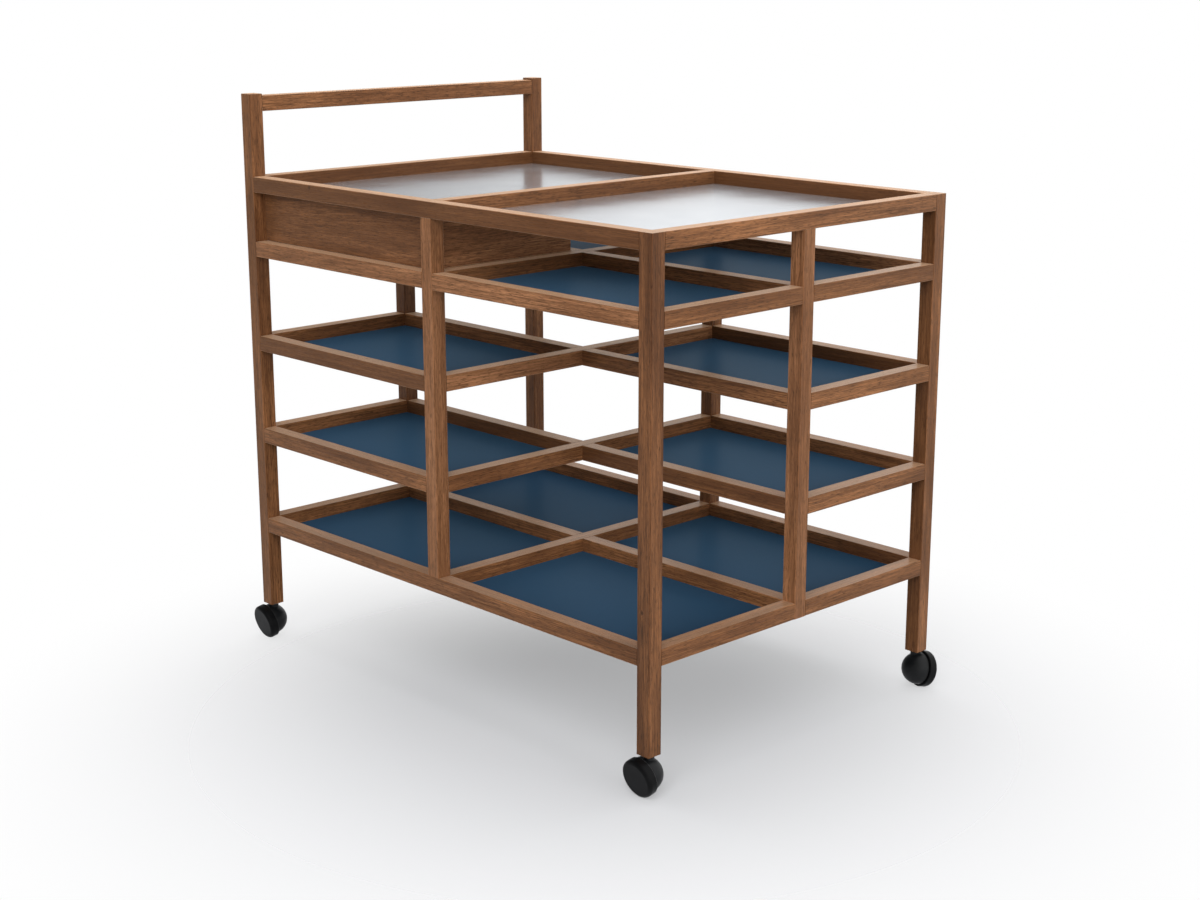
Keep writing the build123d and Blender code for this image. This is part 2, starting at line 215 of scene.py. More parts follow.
@dataclass(frozen=True)
class Walnut(Finish):
    """Solid walnut, planed, sanded and oiled.

    The growth rings give soft dark bands along each piece, the cut fibres fine streaks, and the
    open pores short dark flecks. The oil leaves a satin face, and the fibres that stand up in it
    catch low light as a warm haze. Every piece is cut from its own place in the log, so no two
    show the same figure.
    """

    grain: Grain = Grain.ALONG
    board: Board = Board.MIDDLING
    in_group: bool = False
    pith_mm: Span | None = None
    rings: Rings = Rings()
    tilt_deg: float = 0.5
    knots: tuple[Knot, ...] = ()
    # Painted shade on the faces that look one way
    painted_shade: PaintedShade | None = None
    end_share: float = 0.45
    roughness: Span = (0.24, 0.38)
    ior: float = 1.5
    specular: float = 0.13
    haze: float = 0.7
    haze_roughness: float = 0.4
    haze_tint: str = "#ffd3ac"
    tone: Marks = Marks(240, 30, 2.0, 0.28, 0.76)
    # Fibres are about 0.03 mm wide, so they are drawn as streaks of millimetres that show.
    streaks: Marks = Marks(90, 1.3, 4.0, 0.42, 0.68, 0.75)
    fibres: Marks = Marks(30, 0.8, 3.0, 0.40, 0.66, 0.6)
    # Pores are about 0.2 mm wide and 4 mm long; they are drawn about three times that size.
    pores: Marks = Marks(11, 0.75, 1.0, 0.54, 0.68, 0.7)
    pore_depth: float = 1.5
    relief: float = 0.25
    relief_mm: float = 0.12
    knot_bend_mm: Point = (0.0, 4.0, 3.0)
    # A stick comes from anywhere in the log, and a board from a set place beside the pith.
    stick_start_mm: Point = (0.0, 90.0, 90.0)
    stick_spread_mm: Point = (2400.0, 260.0, 260.0)
    board_spread_mm: Point = (900.0, 6.0, 6.0)
    seed_span: float = 97.0
    side_seeds: Span = (31.7, 63.1)

    def shade(self, tree: bpy.types.NodeTree) -> bpy.types.Node:
        """Lays the marks of the wood over each other, from the pale wood up.

        Args:
            tree: The material's tree.

        Returns:
            The shader.
        """
        node = partial(add_node, tree)
        pale, mean, late, pore = (linear(colour) for colour in self.board.value)
        place = node("ShaderNodeTexCoord")
        knot = self.knot_mask(tree, place)
        wood = self.log_space(tree, place, knot)
        _, tone = self.long_marks(tree, wood, self.tone)
        _, streaks = self.long_marks(tree, wood, self.streaks)
        fibre_noise, fibres = self.long_marks(tree, wood, self.fibres)
        _, pores = self.long_marks(tree, wood, self.pores)
        # End grain drinks more oil, so it is darker.
        ends = self.turned_share(tree, place, self.grain.axis, self.end_share, either_way=True)
        layers = [
            (tone, mean),
            (self.ring_share(tree, wood), late),
            (streaks, late),
            (fibres, late),
            (pores, pore),
            (ends, late),
        ]
        if self.painted_shade is not None:
            # Painted shade: the faces that look one way are darkened towards the late wood, for the
            # shade that falls on them.
            layers.append((self.turned_share(tree, place, *self.painted_shade), late))
        if knot is not None:
            layers.append((knot, pore))

        colour = pale
        for share, tint in layers:
            colour = node(
                "ShaderNodeMix", {"Factor": share, "A": colour, "B": tint}, data_type="RGBA"
            )
        gloss = node(
            "ShaderNodeMapRange",
            {
                "Value": fibre_noise,
                "From Min": NOISE_LOW,
                "From Max": NOISE_HIGH,
                "To Min": self.roughness[0],
                "To Max": self.roughness[1],
            },
        )
        height = node(
            "ShaderNodeMath",
            {0: pores, 1: -self.pore_depth, 2: fibre_noise},
            operation="MULTIPLY_ADD",
        )
        relief = node(
            "ShaderNodeBump",
            {"Height": height, "Strength": self.relief, "Distance": self.relief_mm * MM},
        )
        return node(
            "ShaderNodeBsdfPrincipled",
            {
                "Base Color": colour,
                "Roughness": gloss,
                "IOR": self.ior,
                "Specular IOR Level": self.specular,
                "Sheen Weight": self.haze,
                "Sheen Roughness": self.haze_roughness,
                "Sheen Tint": linear(self.haze_tint),
                "Normal": relief,
            },
        )

    def log_space(
        self, tree: bpy.types.NodeTree, place: bpy.types.Node, knot: bpy.types.Node | None
    ) -> bpy.types.Node:
        """Finds each point's place in the log, where the fibres run along X.

        Args:
            tree: The material's tree.
            place: The texture coordinates.
            knot: The mask of the knots, which the fibres bend round.

        Returns:
            The place in the log, in millimetres.
        """
        node = partial(add_node, tree)
        tilt = math.radians(self.tilt_deg)
        turn = tuple(value + extra for value, extra in zip(self.grain.value, (0, tilt, tilt)))
        turned = node(
            "ShaderNodeMapping",
            {"Vector": place.outputs["Object"], "Rotation": turn, "Scale": TO_MM},
        )
        start = self.log_place(tree, place)
        wood = node("ShaderNodeVectorMath", {0: turned, 1: start}, operation="ADD")
        if knot is not None:
            wood = node(
                "ShaderNodeVectorMath",
                {0: knot, 1: self.knot_bend_mm, 2: wood},
                operation="MULTIPLY_ADD",
            )
        return wood

    def log_place(self, tree: bpy.types.NodeTree, place: bpy.types.Node) -> bpy.types.Node:
        """Chooses where in the log each piece was cut.

        Args:
            tree: The material's tree.
            place: The texture coordinates.

        Returns:
            A shift in millimetres that is the same all over one piece.
        """
        node = partial(add_node, tree)
        piece = node("ShaderNodeObjectInfo")
        seed = node(
            "ShaderNodeMath", {0: piece.outputs["Random"], 1: self.seed_span}, operation="MULTIPLY"
        )
        if self.in_group:
            # The sticks of one group stand in different quarters of the cart.
            sides = node("ShaderNodeSeparateXYZ", {"Vector": place.outputs["Object"]})
            for side, step in zip("XY", self.side_seeds):
                beyond = node(
                    "ShaderNodeMath", {0: sides.outputs[side], 1: 0.0}, operation="GREATER_THAN"
                )
                seed = node(
                    "ShaderNodeMath", {0: beyond, 1: step, 2: seed}, operation="MULTIPLY_ADD"
                )
        dice = node("ShaderNodeTexWhiteNoise", {"W": seed}, noise_dimensions="1D")
        start, spread = self.stick_start_mm, self.stick_spread_mm
        if self.pith_mm is not None:
            start, spread = (0.0, -self.pith_mm[0], -self.pith_mm[1]), self.board_spread_mm
        return node(
            "ShaderNodeVectorMath",
            {0: dice.outputs["Color"], 1: spread, 2: start},
            operation="MULTIPLY_ADD",
        )

    def knot_mask(
        self, tree: bpy.types.NodeTree, place: bpy.types.Node
    ) -> bpy.types.Node | None:
        """Marks this finish's knots.

        Args:
            tree: The material's tree.
            place: The texture coordinates.

        Returns:
            A value that is highest in the middle of a knot and nothing away from it, or None
            without knots.
        """
        node = partial(add_node, tree)
        mask = None
        for knot in self.knots:
            scale = tuple(1 / knot.stretch if part else 1.0 for part in self.grain.axis)
            away = node(
                "ShaderNodeMapping",
                {
                    "Vector": place.outputs["Object"],
                    "Location": tuple(-spot * part for spot, part in zip(knot.centre, scale)),
                    "Scale": scale,
                },
            )
            reach = node("ShaderNodeVectorMath", {0: away}, operation="LENGTH")
            spot = node(
                "ShaderNodeMapRange",
                {
                    "Value": reach.outputs["Value"],
                    "From Min": knot.radius,
                    "From Max": knot.radius * knot.core,
                    "To Max": knot.share,
                },
                interpolation_type="SMOOTHSTEP",
            )
            if mask is not None:
                spot = node("ShaderNodeMath", {0: mask, 1: spot}, operation="MAXIMUM")
            mask = spot
        return mask

    def long_marks(
        self, tree: bpy.types.NodeTree, wood: bpy.types.Node, marks: Marks
    ) -> tuple[bpy.types.Node, bpy.types.Node]:
        """Draws one layer of long marks.

        Args:
            tree: The material's tree.
            wood: The place in the log, in millimetres.
            marks: The layer.

        Returns:
            The layer's noise, and the share of its colour that shows.
        """
        node = partial(add_node, tree)
        space = node("ShaderNodeVectorMath", {0: wood, 1: marks.scale}, operation="MULTIPLY")
        noise = node(
            "ShaderNodeTexNoise",
            {
                "Vector": space,
                "Scale": 1.0,
                "Detail": marks.detail,
                "Roughness": marks.roughness,
                "Distortion": marks.distortion,
            },
        )
        share = node(
            "ShaderNodeMapRange",
            {
                "Value": noise,
                "From Min": marks.low,
                "From Max": marks.high,
                "To Max": marks.share,
            },
            interpolation_type="SMOOTHSTEP",
        )
        return noise, share

    def ring_share(self, tree: bpy.types.NodeTree, wood: bpy.types.Node) -> bpy.types.Node:
        """Draws the growth rings.

        Args:
            tree: The material's tree.
            wood: The place in the log, in millimetres.

        Returns:
            The share of late wood that shows.
        """
        node = partial(add_node, tree)
        rings = self.rings
        space = node("ShaderNodeVectorMath", {0: wood, 1: rings.stretch}, operation="MULTIPLY")
        wave = node(
            "ShaderNodeTexWave",
            {
                "Vector": space,
                "Scale": WAVE_PERIOD / rings.spacing_mm,
                "Distortion": rings.wander,
                "Detail": rings.detail,
                "Detail Scale": rings.detail_scale,
                "Detail Roughness": rings.detail_roughness,
            },
            wave_type="RINGS",
            rings_direction="X",
            wave_profile="SAW",
        )
        return node(
            "ShaderNodeMapRange",
            {"Value": wave.outputs["Fac"], "From Min": rings.onset, "To Max": rings.share},
            interpolation_type="SMOOTHSTEP",
        )

    def turned_share(
        self,
        tree: bpy.types.NodeTree,
        place: bpy.types.Node,
        way: Point,
        share: float,
        either_way: bool = False,
    ) -> bpy.types.Node:
        """Marks the faces that look one way.

        Args:
            tree: The material's tree.
            place: The texture coordinates.
            way: The direction that the faces look in.
            share: The value that the marked faces get.
            either_way: Whether the opposite faces are marked too.

        Returns:
            The share on the marked faces, and nothing on the others.
        """
        node = partial(add_node, tree)
        turned = node(
            "ShaderNodeVectorMath", {0: place.outputs["Normal"], 1: way}, operation="DOT_PRODUCT"
        )
        if either_way:
            turned = node("ShaderNodeMath", {0: turned}, operation="ABSOLUTE")
        return node(
            "ShaderNodeMapRange",
            {"Value": turned, "From Min": TURNED_FROM, "From Max": TURNED_TO, "To Max": share},
        )


@dataclass(frozen=True)
class SatinAluminium(Finish):
    """Aluminium sheet, etched matt and clear anodised.

    The etch leaves a fine even grain, so the sheet mirrors what stands on it as a soft, blurred
    shape, and the milky oxide on it scatters some light, which lays a pale grey haze over the
    mirror.
    """

    colour: str = "#dfe4ea"
    etched: str = "#b9babb"
    etched_share: float = 0.1
    metal: float = 0.82
    roughness: Span = (0.18, 0.23)
    cloud_mm: float = 70.0
    # The etch is near 0.1 mm; it is drawn at about a millimetre, so that it shows.
    grain_mm: float = 1.2
    relief: float = 0.08
    relief_mm: float = 0.05

    def shade(self, tree: bpy.types.NodeTree) -> bpy.types.Node:
        """Adds a fine grain in tint and relief, and clouds in the gloss.

        Args:
            tree: The material's tree.

        Returns:
            The shader.
        """
        node = partial(add_node, tree)
        place = node("ShaderNodeTexCoord").outputs["Object"]
        etch = node(
            "ShaderNodeTexNoise",
            {"Vector": place, "Scale": 1 / (self.grain_mm * MM), "Detail": 2.0},
        )
        cloud = node(
            "ShaderNodeTexNoise",
            {"Vector": place, "Scale": 1 / (self.cloud_mm * MM), "Detail": 2.0},
        )
        gloss = node(
            "ShaderNodeMapRange",
            {
                "Value": cloud.outputs["Fac"],
                "From Min": NOISE_LOW,
                "From Max": NOISE_HIGH,
                "To Min": self.roughness[0],
                "To Max": self.roughness[1],
            },
        )
        tint = node(
            "ShaderNodeMapRange",
            {
                "Value": etch.outputs["Fac"],
                "From Min": NOISE_LOW,
                "From Max": NOISE_HIGH,
                "To Max": self.etched_share,
            },
        )
        colour = node(
            "ShaderNodeMix",
            {"Factor": tint, "A": linear(self.colour), "B": linear(self.etched)},
            data_type="RGBA",
        )
        relief = node(
            "ShaderNodeBump",
            {
                "Height": etch.outputs["Fac"],
                "Strength": self.relief,
                "Distance": self.relief_mm * MM,
            },
        )
        return node(
            "ShaderNodeBsdfPrincipled",
            {"Base Color": colour, "Metallic": self.metal, "Roughness": gloss, "Normal": relief},
        )


@dataclass(frozen=True)
class BlueLaminate(Finish):
    """High-pressure laminate with a soft-touch face, pressed with a fine texture.

    The pressed texture blurs what stands behind a shelf into soft dark bands, and the soft-touch
    resin holds a blue bloom at a low angle, over a deep, even blue.
    """

    colour: str = "#12283f"
    deep: str = "#10243a"
    mottle_mm: float = 26.0
    roughness: Span = (0.30, 0.38)
    ior: float = 1.5
    specular: float = 0.006
    bloom: float = 0.27
    bloom_tint: str = "#89cbff"
    # The pressed texture is near 0.3 mm; it is drawn coarser, so that it shows.
    texture_mm: float = 1.4
    relief: float = 0.1
    relief_mm: float = 0.06

    def shade(self, tree: bpy.types.NodeTree) -> bpy.types.Node:
        """Adds a pressed pebble texture and a faint mottle.

        Args:
            tree: The material's tree.

        Returns:
            The shader.
        """
        node = partial(add_node, tree)
        place = node("ShaderNodeTexCoord").outputs["Object"]
        pebble = node(
            "ShaderNodeTexNoise",
            {"Vector": place, "Scale": 1 / (self.texture_mm * MM), "Detail": 2.0},
        )
        mottle = node(
            "ShaderNodeTexNoise",
            {"Vector": place, "Scale": 1 / (self.mottle_mm * MM), "Detail": 3.0},
        )
        colour = node(
            "ShaderNodeMix",
            {
                "Factor": mottle.outputs["Fac"],
                "A": linear(self.colour),
                "B": linear(self.deep),
            },
            data_type="RGBA",
        )
        gloss = node(
            "ShaderNodeMapRange",
            {
                "Value": pebble.outputs["Fac"],
                "From Min": NOISE_LOW,
                "From Max": NOISE_HIGH,
                "To Min": self.roughness[0],
                "To Max": self.roughness[1],
            },
        )
        relief = node(
            "ShaderNodeBump",
            {
                "Height": pebble.outputs["Fac"],
                "Strength": self.relief,
                "Distance": self.relief_mm * MM,
            },
        )
        return node(
            "ShaderNodeBsdfPrincipled",
            {
                "Base Color": colour,
                "Roughness": gloss,
                "IOR": self.ior,
                "Specular IOR Level": self.specular,
                "Sheen Weight": self.bloom,
                "Sheen Tint": linear(self.bloom_tint),
                "Normal": relief,
            },
        )


@dataclass(frozen=True)
class MouldedNylon(Finish):
    """Black nylon, injection moulded in a finely eroded tool.

    The tool's texture gives a dry, even black with a soft grey light on its upper edges, a little
    greyer where it has rolled.
    """

    colour: str = "#0d0e0f"
    scuffed: str = "#161718"
    scuff_mm: float = 9.0
    scuff_edges: Span = (0.45, 0.75)
    scuff_share: float = 0.7
    roughness: Span = (0.36, 0.50)
    ior: float = 1.53
    specular: float = 0.3
    edge_light: float = 0.35
    edge_roughness: float = 0.25
    # The eroded texture is near 0.1 mm; it is drawn coarser, so that it shows.
    texture_mm: float = 0.7
    relief: float = 0.15
    relief_mm: float = 0.05

    def shade(self, tree: bpy.types.NodeTree) -> bpy.types.Node:
        """Adds the tool's texture and faint scuffs.

        Args:
            tree: The material's tree.

        Returns:
            The shader.
        """
        node = partial(add_node, tree)
        place = node("ShaderNodeTexCoord").outputs["Object"]
        texture = node(
            "ShaderNodeTexNoise",
            {"Vector": place, "Scale": 1 / (self.texture_mm * MM), "Detail": 1.0},
        )
        patch = node(
            "ShaderNodeTexNoise",
            {"Vector": place, "Scale": 1 / (self.scuff_mm * MM), "Detail": 4.0},
        )
        scuff = node(
            "ShaderNodeMapRange",
            {
                "Value": patch.outputs["Fac"],
                "From Min": self.scuff_edges[0],
                "From Max": self.scuff_edges[1],
                "To Max": self.scuff_share,
            },
        )
        colour = node(
            "ShaderNodeMix",
            {"Factor": scuff, "A": linear(self.colour), "B": linear(self.scuffed)},
            data_type="RGBA",
        )
        gloss = node(
            "ShaderNodeMapRange",
            {
                "Value": patch.outputs["Fac"],
                "To Min": self.roughness[0],
                "To Max": self.roughness[1],
            },
        )
        relief = node(
            "ShaderNodeBump",
            {
                "Height": texture.outputs["Fac"],
                "Strength": self.relief,
                "Distance": self.relief_mm * MM,
            },
        )
        return node(
            "ShaderNodeBsdfPrincipled",
            {
                "Base Color": colour,
                "Roughness": gloss,
                "IOR": self.ior,
                "Specular IOR Level": self.specular,
                "Sheen Weight": self.edge_light,
                "Sheen Roughness": self.edge_roughness,
                "Normal": relief,
            },
        )


@dataclass(frozen=True)
class TurnedMetal(Finish):
    """Bar turned on a lathe, bright or plated.

    The tool leaves fine rings along the bar, which draw the highlight out round it.
    """

    colour: str = "#c4c6c8"
    tarnish: str = "#8f9295"
    tarnish_mm: float = 6.0
    roughness: Span = (0.22, 0.40)
    # The feed marks are near 0.1 mm apart; they are drawn coarser, so that they show.
    ring_mm: float = 0.6
    ring_length_mm: float = 100 / 3
    relief: float = 0.2
    relief_mm: float = 0.03

    def shade(self, tree: bpy.types.NodeTree) -> bpy.types.Node:
        """Adds the lathe's rings and a faint tarnish.

        Args:
            tree: The material's tree.

        Returns:
            The shader.
        """
        node = partial(add_node, tree)
        place = node("ShaderNodeTexCoord").outputs["Object"]
        across = 1 / (self.ring_length_mm * MM)
        bar = node(
            "ShaderNodeMapping",
            {"Vector": place, "Scale": (across, across, 1 / (self.ring_mm * MM))},
        )
        rings = node("ShaderNodeTexNoise", {"Vector": bar, "Scale": 1.0, "Detail": 2.0})
        patch = node(
            "ShaderNodeTexNoise",
            {"Vector": place, "Scale": 1 / (self.tarnish_mm * MM), "Detail": 3.0},
        )
        colour = node(
            "ShaderNodeMix",
            {
                "Factor": patch.outputs["Fac"],
                "A": linear(self.colour),
                "B": linear(self.tarnish),
            },
            data_type="RGBA",
        )
        gloss = node(
            "ShaderNodeMapRange",
            {
                "Value": rings.outputs["Fac"],
                "To Min": self.roughness[0],
                "To Max": self.roughness[1],
            },
        )
        relief = node(
            "ShaderNodeBump",
            {
                "Height": rings.outputs["Fac"],
                "Strength": self.relief,
                "Distance": self.relief_mm * MM,
            },
        )
        return node(
            "ShaderNodeBsdfPrincipled",
            {"Base Color": colour, "Metallic": 1.0, "Roughness": gloss, "Normal": relief},
        )


@dataclass(frozen=True)
class StudioFloor(Finish):
    """Matt white floor that keeps the cart's soft shadow and fades into the white surroundings.

    Only the camera sees the fade. The floor throws back less light than it shows, as a floor in a
    large dim studio does, so the undersides of the cart stay deep.
    """

    colour: str = "#cbccd0"
    bounce: str = "#7c7c7d"
    veil: float = 0.3
    fade_centre: Point = (0.18, -0.13, 0.0)
    fade_from: float = 0.2
    fade_to: float = 0.93

    def shade(self, tree: bpy.types.NodeTree) -> bpy.types.Node:
        """Adds a matt face that turns clear away from the cart.

        Args:
            tree: The material's tree.

        Returns:
            The shader.
        """
        node = partial(add_node, tree)
        place = node("ShaderNodeTexCoord").outputs["Object"]
        away = node("ShaderNodeVectorMath", {0: place, 1: self.fade_centre}, operation="DISTANCE")
        fade = node(
            "ShaderNodeMapRange",
            {
                "Value": away,
                "From Min": self.fade_from,
                "From Max": self.fade_to,
                "To Min": self.veil,
            },
            interpolation_type="SMOOTHSTEP",
        )
        path = node("ShaderNodeLightPath")
        seen = node(
            "ShaderNodeMath", {0: fade, 1: path.outputs["Is Camera Ray"]}, operation="MULTIPLY"
        )
        colour = node(
            "ShaderNodeMix",
            {
                "Factor": path.outputs["Is Diffuse Ray"],
                "A": linear(self.colour),
                "B": linear(self.bounce),
            },
            data_type="RGBA",
        )
        matt = node("ShaderNodeBsdfDiffuse", {"Color": colour})
        clear = node("ShaderNodeBsdfTransparent")
        return node("ShaderNodeMixShader", {0: seen, 1: matt, 2: clear})


def dress(nodes: Iterable[str], finish: Finish) -> None:
    """Gives CAD nodes a finish.

    Args:
        nodes: The nodes' names.
        finish: The finish that they take.
    """
    for name in nodes:
        for slot in frame["nodes"][name].material_slots:
            slot.material = finish.material()
        log.info("dressed %s in %s", name, finish.name)


@dataclass
class WalnutFrame:
    """Posts, rails and handle."""

    sticks: tuple[str, ...] = ("_post", "_rail", "_rails", "_divider", "_bearer")
    along: tuple[str, ...] = ("front_rail", "back_rail", "long_rail", "edge_rails", "bearer")
    pale: tuple[str, ...] = (
        "front_middle_post",
        "right_middle_post",
        "middle_cross_rail",
        "upper_edge_rails",
    )
    deep: tuple[str, ...] = ("front_right_post", "left_middle_post")
    # Sticks with painted shade on one face, darkened for the shade that falls on it
    painted_shades: ClassVar[dict[str, PaintedShade]] = {
        "front_left_post": (FRONT, 0.2),
        "front_middle_post": (RIGHT, 0.3),
        "right_middle_post": (RIGHT, 0.2),
        "back_right_post": (FRONT, 0.5),
        "top_front_rail": (FRONT, 0.65),
        "top_back_rail": (FRONT, 0.75),
        "top_left_rail": (RIGHT, 0.6),
        "upper_end_rails": (RIGHT, 0.35),
        "middle_edge_rails": (FRONT, 0.6),
        "lower_long_rail": (FRONT, 0.4),
    }
    # Sticks that show knots or resin
    knots: ClassVar[dict[str, tuple[Knot, ...]]] = {
        "front_right_post": (
            Knot((0.404, -0.282, 0.2425), 0.0045),
            Knot((0.4045, -0.282, 0.217), 0.0026, 9.0),
        ),
        "top_front_rail": (Knot((-0.257, -0.282, 0.7036), 0.004),),
    }

    def dress(self) -> None:
        """Lays the grain along each stick."""
        for name in frame["record"]["behaviour"]["bodies"]["frame"]:
            if name.endswith(self.sticks):
                dress((name,), self.finish(name))

    def finish(self, name: str) -> Walnut:
        """Chooses the board and the grain for a stick.

        Args:
            name: The stick's node.

        Returns:
            Its finish.
        """
        board = Board.MIDDLING
        if name in self.pale:
            board = Board.PALE
        elif name in self.deep:
            board = Board.DEEP
        grain = Grain.ACROSS
        if name.endswith("_post"):
            grain = Grain.UPRIGHT
        elif name.endswith(self.along):
            grain = Grain.ALONG
        in_group = name.endswith("_rails")
        knots = self.knots.get(name, ())
        painted_shade = self.painted_shades.get(name)

        words = ["oiled_walnut", board.name, grain.name]
        if in_group:
            words.append("short")
        if knots:
            words.append("knotty")
        # The name tells which face has painted shade, and how strongly.
        if painted_shade is not None:
            face, share = painted_shade
            words.append(f"{'front' if face == FRONT else 'side'}_heart_{share * 100:.0f}")
        label = "_".join(words).lower()
        return Walnut(label, grain, board, in_group, knots=knots, painted_shade=painted_shade)


@dataclass
class Shelves:
    """Tray top and shelf panels."""

    levels: tuple[str, ...] = ("upper", "middle", "lower", "bottom")
    tray_finish: SatinAluminium = SatinAluminium("satin_anodised_aluminium")
    shelf_finish: BlueLaminate = BlueLaminate("blue_pressed_laminate")

    def dress(self) -> None:
        """Gives the tray its metal and the shelves their laminate."""
        dress(("top_left_panel", "top_right_panel"), self.tray_finish)
        dress((f"{level}_panels" for level in self.levels), self.shelf_finish)


@dataclass
class Drawer:
    """The drawer and the runners that carry it."""

    rings: Rings = Rings(spacing_mm=6.5)
    pith_depth_mm: float = 62.0
    front_pith_drop_mm: float = 8.0
    front_tilt_deg: float = 1.6
    # The drawer front sits back in its opening, so painted shade darkens its face.
    front_heart: PaintedShade = (FRONT, 0.3)
    side_pith_drop_mm: float = 12.0
    side_tilt_deg: float = 1.2

    def dress(self) -> None:
        """Lays flat-sawn figure on the boards, with painted shade on the front and the pale board
        on the flanks as painted light.
        """
        low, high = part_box("drawer_front")
        front_y, middle_z = low.y / MM, (low.z + high.z) / 2 / MM
        face = Walnut(
            "flat_sawn_walnut_front",
            Grain.ALONG,
            pith_mm=(front_y + self.pith_depth_mm, middle_z - self.front_pith_drop_mm),
            rings=self.rings,
            tilt_deg=self.front_tilt_deg,
            painted_shade=self.front_heart,
        )
        dress(("drawer_front", "drawer_back", "drawer_stop", "drawer_bottom"), face)
        for side in ("left", "right"):
            low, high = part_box(f"drawer_{side}_side")
            # Turned so that the grain lies on local X, local Y points along -X of the cart.
            flank = Walnut(
                f"flat_sawn_walnut_{side}",
                Grain.ACROSS,
                # The pale board is painted light: it lightens the flanks, which stand in the shade
                # of the bay beside the drawer.
                Board.PALE,
                pith_mm=(-low.x / MM + self.pith_depth_mm, middle_z - self.side_pith_drop_mm),
                rings=self.rings,
                tilt_deg=self.side_tilt_deg,
            )
            dress((f"drawer_{side}_side", f"{side}_drawer_runner"), flank)


